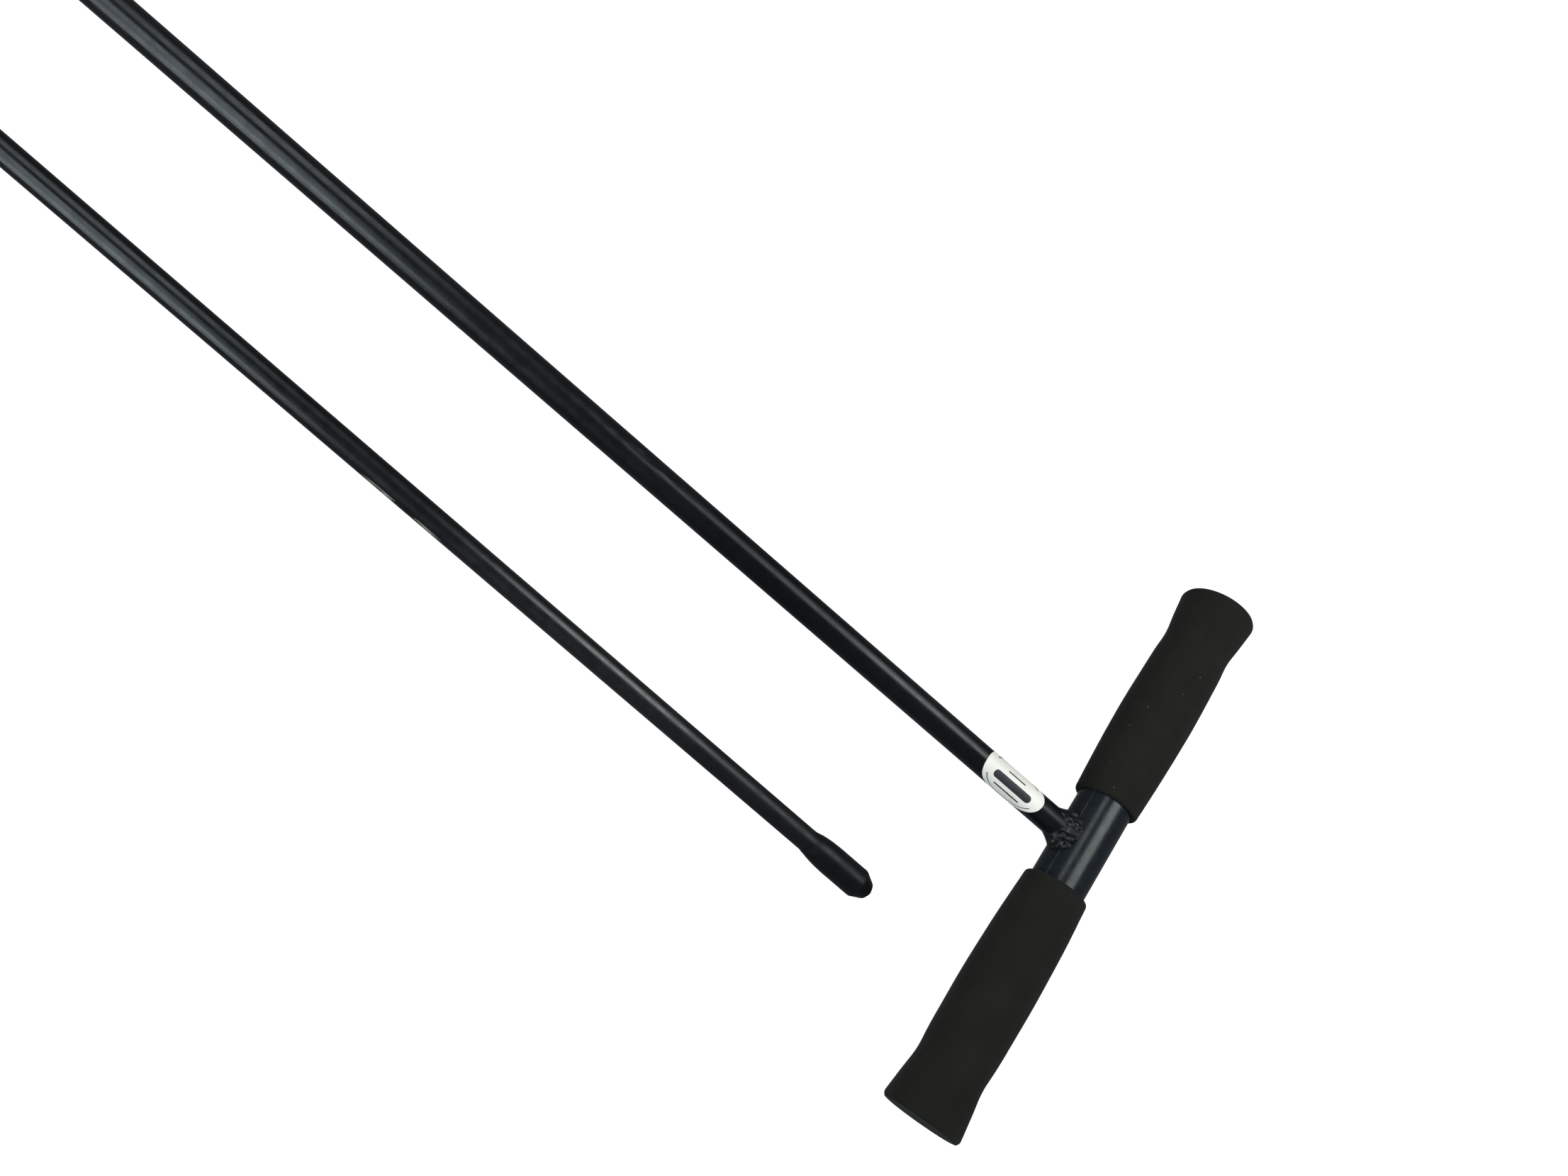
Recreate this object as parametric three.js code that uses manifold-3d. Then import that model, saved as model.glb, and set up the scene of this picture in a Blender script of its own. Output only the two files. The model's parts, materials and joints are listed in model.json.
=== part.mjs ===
// A take-apart T-handle soil probe, lying dismantled on a flat surface. The handle section is a
// thin tube welded to a cross tube with two foam grips. The lower section is a solid rod with a
// bulb-shaped tip. It lies beside the handle section, nearly parallel to it. The rod plugs into
// the tube's open end, where a sprung button clicks into a hole and locks it.
//
// Millimetres, +Z up. The origin is on the surface, under the middle of the footprint. The cross
// tube lies along Y and the handle section's tube runs towards -X.
//
// Each section is modelled in a frame of its own. There +X runs along the section from its upper
// end towards the probe's tip, and +Z is the side that carries the button.

import * as THREE from "three";
import { mergeVertices } from "three/addons/utils/BufferGeometryUtils.js";
import Module from "manifold-3d";

// ---------------------------------------------------------------- driving dimensions

const GAP = 0.3; // between pieces that touch
const BORE_GAP = 0.3; // between the rod and what slides over it, or holds it

const CROSS_TUBE = { radius: 14, wall: 2, halfLength: 145 };
const SHAFT = { radius: 7.1, wall: 1.3, length: 650 };
const ROD = { radius: 5.5, length: 640, leadIn: 1.2 };

const COPE = { depth: 3, halfLength: 20 }; // the shaft's saddle, and the tool that cuts it

// The grips' outline, as distance from the middle of the handle and radius.
const GRIP = {
  innerFace: [24.6, 15.6],
  side: [
    [26.1, 16.8],
    [52.3, 17.95],
    [80, 18.5],
    [109.5, 18.05],
    [123.5, 17.4],
    [135.2, 18.7],
    [146.9, 19.95],
  ],
  rim: [
    [148.6, 19.25],
    [149.4, 17.55],
  ],
  endFace: [149.6, 15.95],
};

const LABEL = { at: 51.2, length: 37.5, width: 26, thickness: 0.25 };
const TEE_WELD = { footRadius: 12, leg: 5.5, root: 5, footHeight: 2, toe: 0.4, hollow: [0.8, 1.2] };
const COLLAR_WELD = { leg: 2.6 };

// Distances back from the very end of the tip, and radii.
const TIP = { point: 0.3, nose: 2.2, bevel: 8.1, bulb: 27.8, shoulder: 34.15, cone: 40.5 };
const TIP_RADIUS = { point: 1.2, nose: 4.3, bulb: 7.25, shoulder: 6.72, back: 5.95 };
const SPIGOT = { radius: 4, length: 14 }; // the rod's end inside the tip

const SOCKET_COLLAR_LENGTH = 30;
const SLEEVE_LENGTH = 30;
const THRUST_COLLAR_LENGTH = 10;
const CHAMFER = 1;
const TURN_GAP = 0.5; // between the two sections when they are lined up
const PLUG_TRAVEL = 54; // how far the rod goes into the tube

const KEYWAY = { depth: 16, halfWidth: 3, radius: 8.1 };
const O_RING = { at: 23, section: 0.8, radius: 6.45, grooveRadius: 7.4, grooveWidth: 2.4 };
const SLEEVE_GROOVES = { count: 3, pitch: 4.5, first: 9.5, width: 1.6, depth: 0.6 };
const ROLL_PIN = { radius: 1.5, wall: 0.6, slot: 0.5, halfLength: 12, holeRadius: 1.8 };

const BUTTON = {
  fromEnd: 12,
  holeRadius: 4,
  holeFloor: -3.5,
  headRadius: 2.5,
  headTop: 7.6,
  dome: [
    [-1, 1],
    [-0.3, 0.75],
    [0, 0.35],
  ], // height from the top, and share of the head's radius
  flangeRadius: 3.6,
  flange: [1.1, 2.1],
  tubeHoleRadius: 2.8,
};
const RETAINER = { inner: 2.8, outer: 3.7, from: 2.4, to: 3.6 };
const SPRING = { radius: 2.2, wireRadius: 0.2, from: -3, to: 0.6, turns: 3.5 };

// Where the lower section lies, from the middle of the handle: its very end, and its heading.
const REST_NOSE = { x: -74.3, y: -81.5 };
const REST_HEADING = THREE.MathUtils.degToRad(-1.172);

const ROUND = 32; // sides of a rod or tube
const FINE = 36; // sides of a grip
const COARSE = 20; // sides of a small turned piece

// ---------------------------------------------------------------- worked out from them

const BORE_RADIUS = SHAFT.radius - SHAFT.wall;
const GRIP_RADIUS = Math.max(...GRIP.side.map(([, radius]) => radius));
const LINED_UP = SHAFT.length + TURN_GAP; // from the handle to the rod's upper end

// Lined up, the two sections share one straight axis. It falls from the handle, held up by the
// grips' flares, to the bulb's front edge. Whatever touches the surface in between is as thick
// as this line leaves room for, so each section also lies steadily by itself.
const BULB_AT = LINED_UP + ROD.length - TIP.bevel;
const LEAN =
  Math.asin(GRIP_RADIUS / Math.hypot(BULB_AT, TIP_RADIUS.bulb)) -
  Math.atan2(TIP_RADIUS.bulb, BULB_AT);
const axisHeight = (along) => GRIP_RADIUS - along * Math.sin(LEAN);
const restingRadius = (along) => axisHeight(along) / Math.cos(LEAN) - 0.02;

const THRUST_COLLAR_AT = PLUG_TRAVEL + SLEEVE_LENGTH + GAP;
const BUTTON_HOLE_AT = LINED_UP - PLUG_TRAVEL + BUTTON.fromEnd;
const SOCKET_COLLAR_RADIUS = restingRadius(SHAFT.length);
const SLEEVE_RADIUS = restingRadius(LINED_UP + SLEEVE_LENGTH);
const THRUST_COLLAR_RADIUS = restingRadius(LINED_UP + THRUST_COLLAR_AT + THRUST_COLLAR_LENGTH);

// ---------------------------------------------------------------- materials

const finish = (color, roughness, metalness) =>
  new THREE.MeshStandardMaterial({ color, roughness, metalness });

const powderCoat = () => finish(0x12181f, 0.45, 0.1);
const tubePaint = () => finish(0x1b2530, 0.38, 0.15);
const foam = () => finish(0x21211c, 0.95, 0);
const labelFilm = () => finish(0xdcd9cf, 0.55, 0);
const steel = () => finish(0x9a9ea3, 0.3, 0.9);
const springSteel = () => finish(0x7d8288, 0.35, 0.9);
const rubber = () => finish(0x151515, 0.7, 0);

// ---------------------------------------------------------------- solids

const wasm = await Module();
wasm.setup();

function solidOf(geometry) {
  const bare = geometry.index ? geometry.toNonIndexed() : geometry.clone();
  bare.deleteAttribute("normal");
  bare.deleteAttribute("uv");
  const merged = mergeVertices(bare, 1e-4);
  const vertProperties = merged.attributes.position.array;
  const triVerts = new Uint32Array(merged.index.array);
  return new wasm.Manifold(new wasm.Mesh({ numProp: 3, vertProperties, triVerts }));
}

function geometryOf(solid) {
  const { vertProperties, triVerts } = solid.getMesh();
  return new THREE.BufferGeometry()
    .setAttribute("position", new THREE.BufferAttribute(vertProperties, 3))
    .setIndex(new THREE.BufferAttribute(triVerts, 1));
}

function cut(geometry, ...tools) {
  const start = solidOf(geometry);
  return geometryOf(tools.reduce((left, tool) => left.subtract(solidOf(tool)), start));
}

// A solid turned about the X axis, from [x, radius] points. The outline runs towards +X on the
// outside. It starts and ends on the axis, or it closes on itself.
function turned(outline, sides = ROUND) {
  const points = outline.map(([x, radius]) => new THREE.Vector2(radius, x));
  return new THREE.LatheGeometry(points, sides).rotateZ(-Math.PI / 2);
}

function ring(from, to, inner, outer, chamfer = 0, sides = ROUND) {
  return turned(
    [
      [from, inner],
      [from, outer - chamfer],
      ...(chamfer ? [[from + chamfer, outer]] : []),
      ...(chamfer ? [[to - chamfer, outer]] : []),
      [to, outer - chamfer],
      [to, inner],
      [from, inner],
    ],
    sides,
  );
}

function bar(from, to, radius, sides = ROUND) {
  return turned(
    [
      [from, 0],
      [from, radius],
      [to, radius],
      [to, 0],
    ],
    sides,
  );
}

const alongY = (geometry) => geometry.rotateZ(Math.PI / 2);
const alongMinusY = (geometry) => geometry.rotateZ(-Math.PI / 2);
const alongZ = (geometry) => geometry.rotateY(-Math.PI / 2);

function piece(name, geometry, material) {
  const mesh = new THREE.Mesh(geometry, material);
  mesh.name = name;
  return mesh;
}

// ---------------------------------------------------------------- handle section

function crossTube() {
  const { radius, wall, halfLength } = CROSS_TUBE;
  return alongY(ring(-halfLength, halfLength, radius - wall, radius));
}

// The room that the cross tube takes out of whatever is welded to it.
function saddle() {
  return alongY(bar(-COPE.halfLength, COPE.halfLength, CROSS_TUBE.radius + GAP, FINE));
}

// The tube's upper end is coped to the cross tube, and the button's hole is near its mouth.
function shaftTube() {
  const tube = ring(CROSS_TUBE.radius - COPE.depth, SHAFT.length, BORE_RADIUS, SHAFT.radius);
  const hole = alongZ(bar(0, SHAFT.radius + 1, BUTTON.tubeHoleRadius, COARSE));
  return cut(tube, saddle(), hole.translate(BUTTON_HOLE_AT, 0, 0));
}

// A fillet all round the tube, thickest at its foot on the cross tube.
function teeWeld() {
  const inner = SHAFT.radius + GAP;
  const { footRadius, leg, root, footHeight, toe, hollow } = TEE_WELD;
  const start = CROSS_TUBE.radius - root;
  const end = CROSS_TUBE.radius + leg;
  const arc = new THREE.QuadraticBezierCurve(
    new THREE.Vector2(start + footHeight, footRadius),
    new THREE.Vector2(CROSS_TUBE.radius + hollow[0], inner + hollow[1]),
    new THREE.Vector2(end, inner + toe),
  );
  const slope = arc.getPoints(6).map((point) => [point.x, point.y]);
  const body = turned([[start, inner], [start, footRadius], ...slope, [end, inner], [start, inner]]);
  return cut(body, saddle());
}

// A foam grip with a closed end, outwards from the middle of the handle along +X.
function grip() {
  const { innerFace, side, rim, endFace } = GRIP;
  const bore = CROSS_TUBE.radius + GAP;
  const boreEnd = CROSS_TUBE.halfLength + GAP;
  const skin = new THREE.SplineCurve(side.map(([x, radius]) => new THREE.Vector2(x, radius)));
  return turned(
    [
      [boreEnd, 0],
      [boreEnd, bore],
      [innerFace[0], bore],
      innerFace,
      ...skin.getPoints(15).map((point) => [point.x, point.y]),
      ...rim,
      endFace,
      [endFace[0], 0],
    ],
    FINE,
  );
}

// A thin oval wrapped round the tube: a square grid is rounded into a disc, then bent.
function label() {
  const { at, length, width, thickness } = LABEL;
  const plate = new THREE.BoxGeometry(2, 2, 1, 10, 16, 1);
  const position = plate.attributes.position;
  const middle = SHAFT.radius + GAP;
  for (let i = 0; i < position.count; i += 1) {
    const [x, y] = [position.getX(i), position.getY(i)];
    const along = (x * Math.sqrt(1 - (y * y) / 2) * length) / 2;
    const across = (y * Math.sqrt(1 - (x * x) / 2) * width) / 2;
    const radius = middle + thickness * (position.getZ(i) + 0.5);
    const angle = across / SHAFT.radius;
    position.setXYZ(i, at + along, radius * Math.sin(angle), radius * Math.cos(angle));
  }
  return plate;
}

function socketCollar() {
  const from = SHAFT.length - SOCKET_COLLAR_LENGTH;
  return ring(from, SHAFT.length, SHAFT.radius + GAP, SOCKET_COLLAR_RADIUS, CHAMFER);
}

function collarWeld() {
  const inner = SHAFT.radius + GAP;
  const end = SHAFT.length - SOCKET_COLLAR_LENGTH - GAP;
  const { leg } = COLLAR_WELD;
  return turned([
    [end - leg, inner],
    [end - leg, inner + 0.4],
    [end - leg * 0.4, inner + leg * 0.5],
    [end, inner + leg],
    [end, inner],
    [end - leg, inner],
  ]);
}

// ---------------------------------------------------------------- coupling sleeve

// It guards the rod's plug end when the probe is apart, and backs onto the thrust collar when it
// is together. A keyway open at the front lets the button through, and its blind end stops the
// sleeve from coming off the rod.
function couplingSleeve() {
  const bore = ROD.radius + BORE_GAP;
  const body = ring(0, SLEEVE_LENGTH, bore, SLEEVE_RADIUS, CHAMFER);
  const { depth, halfWidth, radius } = KEYWAY;
  const keyway = new THREE.BoxGeometry(depth + 1, 2 * halfWidth, radius);
  keyway.translate((depth - 1) / 2, 0, radius / 2);
  const half = O_RING.grooveWidth / 2;
  const seat = ring(O_RING.at - half, O_RING.at + half, ROD.radius, O_RING.grooveRadius);
  const { count, pitch, first, width, depth: cutDepth } = SLEEVE_GROOVES;
  const grooves = Array.from({ length: count }, (_, i) => {
    const from = first + i * pitch;
    return ring(from, from + width, SLEEVE_RADIUS - cutDepth, SLEEVE_RADIUS + 1);
  });
  return cut(body, keyway, seat, ...grooves);
}

function sleeveORing() {
  const { at, section, radius } = O_RING;
  return new THREE.TorusGeometry(radius, section, 8, ROUND).rotateY(Math.PI / 2).translate(at, 0, 0);
}

// ---------------------------------------------------------------- lower section

function probeRod() {
  const shoulder = ROD.length - TIP.cone - GAP;
  const { radius, leadIn } = ROD;
  const body = turned([
    [0, 0],
    [0, radius - leadIn],
    [leadIn, radius],
    [shoulder, radius],
    [shoulder, SPIGOT.radius],
    [shoulder + SPIGOT.length, SPIGOT.radius],
    [shoulder + SPIGOT.length, 0],
  ]);
  const buttonHole = alongZ(bar(BUTTON.holeFloor, radius + 1, BUTTON.holeRadius, ROUND));
  const pinHole = alongY(bar(-radius - 1, radius + 1, ROLL_PIN.holeRadius, COARSE));
  buttonHole.translate(BUTTON.fromEnd, 0, 0);
  pinHole.translate(THRUST_COLLAR_AT + THRUST_COLLAR_LENGTH / 2, 0, 0);
  return cut(body, buttonHole, pinHole);
}

// A bulb thicker than the rod, so that the rod follows it freely through the ground.
function probeTip() {
  const fromEnd = (distance) => ROD.length - distance;
  const back = fromEnd(TIP.cone);
  const socketRadius = SPIGOT.radius + BORE_GAP;
  const socketFloor = back + SPIGOT.length + GAP;
  return turned([
    [socketFloor, 0],
    [socketFloor, socketRadius],
    [back, socketRadius],
    [back, TIP_RADIUS.back],
    [fromEnd(TIP.shoulder), TIP_RADIUS.shoulder],
    [fromEnd(TIP.bulb), TIP_RADIUS.bulb],
    [fromEnd(TIP.bevel), TIP_RADIUS.bulb],
    [fromEnd(TIP.nose), TIP_RADIUS.nose],
    [fromEnd(TIP.point), TIP_RADIUS.point],
    [fromEnd(0), 0],
  ]);
}

// The shoulder that carries the push and the pull, so that the button doesn't.
function thrustCollar() {
  const from = THRUST_COLLAR_AT;
  const to = from + THRUST_COLLAR_LENGTH;
  const body = ring(from, to, ROD.radius + BORE_GAP, THRUST_COLLAR_RADIUS, CHAMFER);
  const reach = THRUST_COLLAR_RADIUS + 1;
  const pinHole = alongY(bar(-reach, reach, ROLL_PIN.holeRadius, COARSE));
  return cut(body, pinHole.translate((from + to) / 2, 0, 0));
}

function rollPin() {
  const { radius, wall, slot, halfLength } = ROLL_PIN;
  const half = Math.asin(slot / 2 / radius);
  const section = new THREE.Shape();
  section.absarc(0, 0, radius, half, 2 * Math.PI - half, false);
  section.absarc(0, 0, radius - wall, 2 * Math.PI - half, half, true);
  const extrusion = { depth: 2 * halfLength, bevelEnabled: false, curveSegments: COARSE };
  const pin = new THREE.ExtrudeGeometry(section, extrusion).translate(0, 0, -halfLength);
  return pin.rotateX(Math.PI / 2);
}

// The next four stand on the button's own axis, with X = 0 there.
function buttonSpring() {
  const { radius, wireRadius, from, to, turns } = SPRING;
  class Helix extends THREE.Curve {
    getPoint(t, target = new THREE.Vector3()) {
      const angle = 2 * Math.PI * turns * t;
      const height = from + (to - from) * t;
      return target.set(radius * Math.cos(angle), radius * Math.sin(angle), height);
    }
  }
  const wire = new THREE.Shape();
  wire.absarc(0, 0, wireRadius, 0, 2 * Math.PI, false);
  return new THREE.ExtrudeGeometry(wire, {
    steps: Math.round(10 * turns),
    curveSegments: 6,
    extrudePath: new Helix(),
  });
}

function buttonRetainer() {
  return alongZ(ring(RETAINER.from, RETAINER.to, RETAINER.inner, RETAINER.outer));
}

function lockButton() {
  const [bottom, top] = BUTTON.flange;
  const { headTop, headRadius, flangeRadius, dome } = BUTTON;
  return alongZ(
    turned(
      [
        [bottom, 0],
        [bottom, flangeRadius],
        [top, flangeRadius],
        [top, headRadius],
        ...dome.map(([height, share]) => [headTop + height, headRadius * share]),
        [headTop, 0],
      ],
      COARSE,
    ),
  );
}

// ---------------------------------------------------------------- the assembly

// A group whose +X heads the given way on the surface and leans down at the probe's angle.
function section(x, y, z, heading) {
  const group = new THREE.Group();
  group.position.set(x, y, z);
  group.rotation.set(0, LEAN, heading, "ZYX");
  return group;
}

function handleSection() {
  const group = section(0, 0, axisHeight(0), Math.PI);
  group.add(
    piece("cross_tube", crossTube(), tubePaint()),
    piece("shaft_tube", shaftTube(), powderCoat()),
    piece("tee_weld", teeWeld(), powderCoat()),
    piece("grip_near", alongY(grip()), foam()),
    piece("grip_far", alongMinusY(grip()), foam()),
    piece("label", label(), labelFilm()),
    piece("socket_collar", socketCollar(), powderCoat()),
    piece("collar_weld", collarWeld(), powderCoat()),
  );
  return group;
}

function lowerSection() {
  const reach = ROD.length * Math.cos(LEAN);
  const group = section(
    REST_NOSE.x - reach * Math.cos(REST_HEADING),
    REST_NOSE.y - reach * Math.sin(REST_HEADING),
    axisHeight(LINED_UP),
    REST_HEADING,
  );
  const button = new THREE.Group();
  button.position.x = BUTTON.fromEnd;
  button.add(
    piece("lock_button", lockButton(), steel()),
    piece("button_retainer", buttonRetainer(), steel()),
    piece("button_spring", buttonSpring(), springSteel()),
  );
  const pin = piece("thrust_collar_pin", rollPin(), steel());
  pin.position.x = THRUST_COLLAR_AT + THRUST_COLLAR_LENGTH / 2;
  group.add(
    piece("coupling_sleeve", couplingSleeve(), powderCoat()),
    piece("sleeve_o_ring", sleeveORing(), rubber()),
    piece("probe_rod", probeRod(), powderCoat()),
    piece("probe_tip", probeTip(), powderCoat()),
    piece("thrust_collar", thrustCollar(), powderCoat()),
    pin,
    button,
  );
  return group;
}

const probe = new THREE.Group();
probe.add(handleSection(), lowerSection());
const footprint = new THREE.Box3().setFromObject(probe, true);
probe.position.x = -(footprint.min.x + footprint.max.x) / 2;

export default probe;
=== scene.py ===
"""The looks of a take-apart T-handle soil probe, lying dismantled on a pale floor.

Every piece is turned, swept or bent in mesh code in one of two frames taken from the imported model:
the handle section's and the lower section's. In both, +X runs along the section towards the probe's
tip and +Z is the side that faces up. Lengths in these frames are millimetres. The meshes are stored
in metres, in the row frame.
"""

import json
import math

import bmesh
import bpy
from mathutils import Matrix, Vector, noise


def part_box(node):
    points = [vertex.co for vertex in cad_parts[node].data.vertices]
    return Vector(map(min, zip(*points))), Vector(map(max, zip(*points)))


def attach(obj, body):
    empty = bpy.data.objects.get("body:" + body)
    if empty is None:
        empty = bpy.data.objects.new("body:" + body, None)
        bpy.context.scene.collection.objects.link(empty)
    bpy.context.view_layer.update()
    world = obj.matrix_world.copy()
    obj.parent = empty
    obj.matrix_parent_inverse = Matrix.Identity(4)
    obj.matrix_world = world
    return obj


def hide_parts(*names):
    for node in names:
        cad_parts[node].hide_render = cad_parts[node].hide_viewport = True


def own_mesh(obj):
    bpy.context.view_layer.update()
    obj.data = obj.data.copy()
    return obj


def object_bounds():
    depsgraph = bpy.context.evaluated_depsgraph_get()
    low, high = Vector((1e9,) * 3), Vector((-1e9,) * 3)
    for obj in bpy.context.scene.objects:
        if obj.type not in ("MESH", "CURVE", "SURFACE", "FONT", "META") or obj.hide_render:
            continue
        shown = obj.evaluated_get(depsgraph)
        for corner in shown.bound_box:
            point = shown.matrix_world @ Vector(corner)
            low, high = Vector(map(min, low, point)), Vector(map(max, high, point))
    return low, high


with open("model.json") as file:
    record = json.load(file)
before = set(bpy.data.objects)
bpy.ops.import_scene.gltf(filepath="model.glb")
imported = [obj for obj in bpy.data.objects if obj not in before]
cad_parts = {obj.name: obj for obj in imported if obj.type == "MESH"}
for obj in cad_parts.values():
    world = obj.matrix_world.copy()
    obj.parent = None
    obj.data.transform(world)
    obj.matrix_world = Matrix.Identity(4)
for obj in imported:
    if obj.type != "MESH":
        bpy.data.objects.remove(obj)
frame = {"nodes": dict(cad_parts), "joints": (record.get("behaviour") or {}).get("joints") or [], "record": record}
CAD_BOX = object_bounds()

MM = 0.001
ROUND = 96  # sides of a turned piece that is seen close up
SHARP = 35  # degrees between two faces from which their edge is a sharp one
FLOOR_GAP = 0.0002  # metres from the floor up to the lowest piece
POWDER, PAINT, FOAM, FILM = "powder_coat", "tube_paint", "grip_foam", "label_film"
STEEL, WIRE, SEAL = "bare_steel", "spring_steel", "seal_rubber"


# ---------------------------------------------------------------- frames and sizes from the CAD


def section_frame(origin, along, up):
    """The matrix from a section's own frame, in millimetres, to the row frame, in metres."""
    x = Vector(along).normalized()
    y = Vector(up).cross(x).normalized()
    z = x.cross(y)
    axes = Matrix((x, y, z)).transposed().to_4x4()
    return Matrix.Translation(origin) @ axes @ Matrix.Scale(MM, 4)


def centre(node):
    low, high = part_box(node)
    return (low + high) / 2


def span(node, section):
    """A CAD node's lowest and highest corner in a section's frame, in millimetres."""
    inverse = section.inverted()
    points = [inverse @ vertex.co for vertex in frame["nodes"][node].data.vertices]
    low = Vector(min(point[i] for point in points) for i in range(3))
    high = Vector(max(point[i] for point in points) for i in range(3))
    return low, high


MOUNTS = {mount["name"]: mount for mount in frame["record"]["mounts"]}
JOINTS = {joint["name"]: joint for joint in frame["joints"]}
TEE = centre("cross_tube")
PLUG_WAY = Vector(JOINTS["section_plug"]["axis"])
BUTTON_UP = Vector(JOINTS["button_press"]["axis"])

HANDLE = section_frame(TEE, MOUNTS["socket_face"]["axis"], (0, 0, 1))
LOWER = section_frame(MOUNTS["rod_end_face"]["pos_m"], -PLUG_WAY, BUTTON_UP)

CROSS_TUBE = span("cross_tube", HANDLE)
SHAFT = span("shaft_tube", HANDLE)
GRIP = span("grip_near", HANDLE)
SOCKET = span("socket_collar", HANDLE)
COLLAR_WELD = span("collar_weld", HANDLE)
LABEL = span("label", HANDLE)
ROD = span("probe_rod", LOWER)
TIP = span("probe_tip", LOWER)
SLEEVE = span("coupling_sleeve", LOWER)
O_RING = span("sleeve_o_ring", LOWER)
THRUST = span("thrust_collar", LOWER)
PIN = span("thrust_collar_pin", LOWER)
BUTTON = span("lock_button", LOWER)
RETAINER = span("button_retainer", LOWER)
SPRING = span("button_spring", LOWER)

CROSS_RADIUS = CROSS_TUBE[1].z
CROSS_WALL = 2
SHAFT_RADIUS = SHAFT[1].y
SHAFT_WALL = 1.3
ROD_RADIUS = ROD[1].y
BUTTON_AT = (BUTTON[0].x + BUTTON[1].x) / 2
BUTTON_HOLE_AT = SHAFT[1].x - 41.5
BUTTON_HOLE_RADIUS = 2.8
PIN_HOLE_RADIUS = 1.55
WELL_RADIUS = 4  # of the button's well in the rod
SPIGOT_RADIUS, SPIGOT_LENGTH = 4, 13  # of the rod's end, inside the tip


# ---------------------------------------------------------------- camera, lights and floor

CAMERA_FROM_TEE = Vector((-0.32816, -0.19109, 0.52862))
CAMERA_TURN = (7.123, -22.588, 37.413)  # degrees, XYZ
CAMERA_LENS = 29.265


def camera():
    data = bpy.data.cameras.new("camera")
    data.sensor_width = 36
    data.lens = CAMERA_LENS
    data.clip_start = 0.01
    data.clip_end = 50
    eye = bpy.data.objects.new("camera", data)
    eye.location = TEE + CAMERA_FROM_TEE
    eye.rotation_euler = [math.radians(turn) for turn in CAMERA_TURN]
    bpy.context.scene.collection.objects.link(eye)
    bpy.context.scene.camera = eye


DOWN = (0, 0, -1)
COOL = (0.80, 0.94, 1.0)
NEARLY_WHITE = (0.93, 1.0, 0.98)


def softbox(name, place, size, radiance, tint=NEARLY_WHITE, facing=DOWN):
    """A soft light, placed from the tee. It is as bright as radiance says, whatever its size."""
    data = bpy.data.lights.new(name, "AREA")
    data.shape = "RECTANGLE"
    data.size, data.size_y = size
    data.energy = 4 * size[0] * size[1] * radiance
    data.color = tint
    light = bpy.data.objects.new(name, data)
    light.location = TEE + Vector(place)
    light.rotation_euler = Vector(facing).to_track_quat("-Z", "Y").to_euler()
    bpy.context.scene.collection.objects.link(light)


def lights():
    world = bpy.data.worlds.new("studio")
    world.use_nodes = True
    background = world.node_tree.nodes["Background"]
    background.inputs["Color"].default_value = (0.94, 0.97, 1.0, 1)
    background.inputs["Strength"].default_value = 0.2
    bpy.context.scene.world = world
    softbox("over_handle", (0.32, 0.95, 1.23), (0.64, 1.1), 4.3)
    softbox("over_handle_middle", (0.22, 0.47, 1.22), (0.74, 0.62), 6)
    softbox("over_coupling", (-0.93, 0.9, 1.23), (0.5, 1.2), 4.5)
    softbox("near_coupling", (-1.05, -0.85, 1.23), (0.52, 1.1), 7, COOL)
    softbox("near_wall", (-0.94, -1.42, 0.78), (0.54, 0.8), 10.5, COOL, (0, 1, 0))
    softbox("low_corner", (-1.3, -1.35, 0.15), (1.4, 0.3), 8, NEARLY_WHITE, (0.5, 0.87, 0))


def floor():
    mesh = bpy.data.meshes.new("floor")
    half = 6
    corners = [(-half, -half, 0), (half, -half, 0), (half, half, 0), (-half, half, 0)]
    mesh.from_pydata(corners, [], [(0, 1, 2, 3)])
    ground = bpy.data.objects.new("floor", mesh)
    ground.location.z = CAD_BOX[0][2] - FLOOR_GAP
    bpy.context.scene.collection.objects.link(ground)
    material = bpy.data.materials.new("pale_floor")
    material.use_nodes = True
    shader = material.node_tree.nodes["Principled BSDF"]
    shader.inputs["Base Color"].default_value = (0.25, 0.25, 0.25, 1)
    shader.inputs["Roughness"].default_value = 0.9
    shader.inputs["Specular IOR Level"].default_value = 0.1
    shader.inputs["Emission Color"].default_value = (1, 1, 1, 1)
    shader.inputs["Emission Strength"].default_value = 0.9
    mesh.materials.append(material)
    # The pale floor is neither mirrored in the dark paint nor a light for it.
    ground.visible_glossy = False
    ground.visible_diffuse = False


def view_settings():
    view = bpy.context.scene.view_settings
    view.view_transform = "Standard"
    view.look = "None"
    view.exposure = 0
    view.gamma = 1


# ---------------------------------------------------------------- materials


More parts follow.
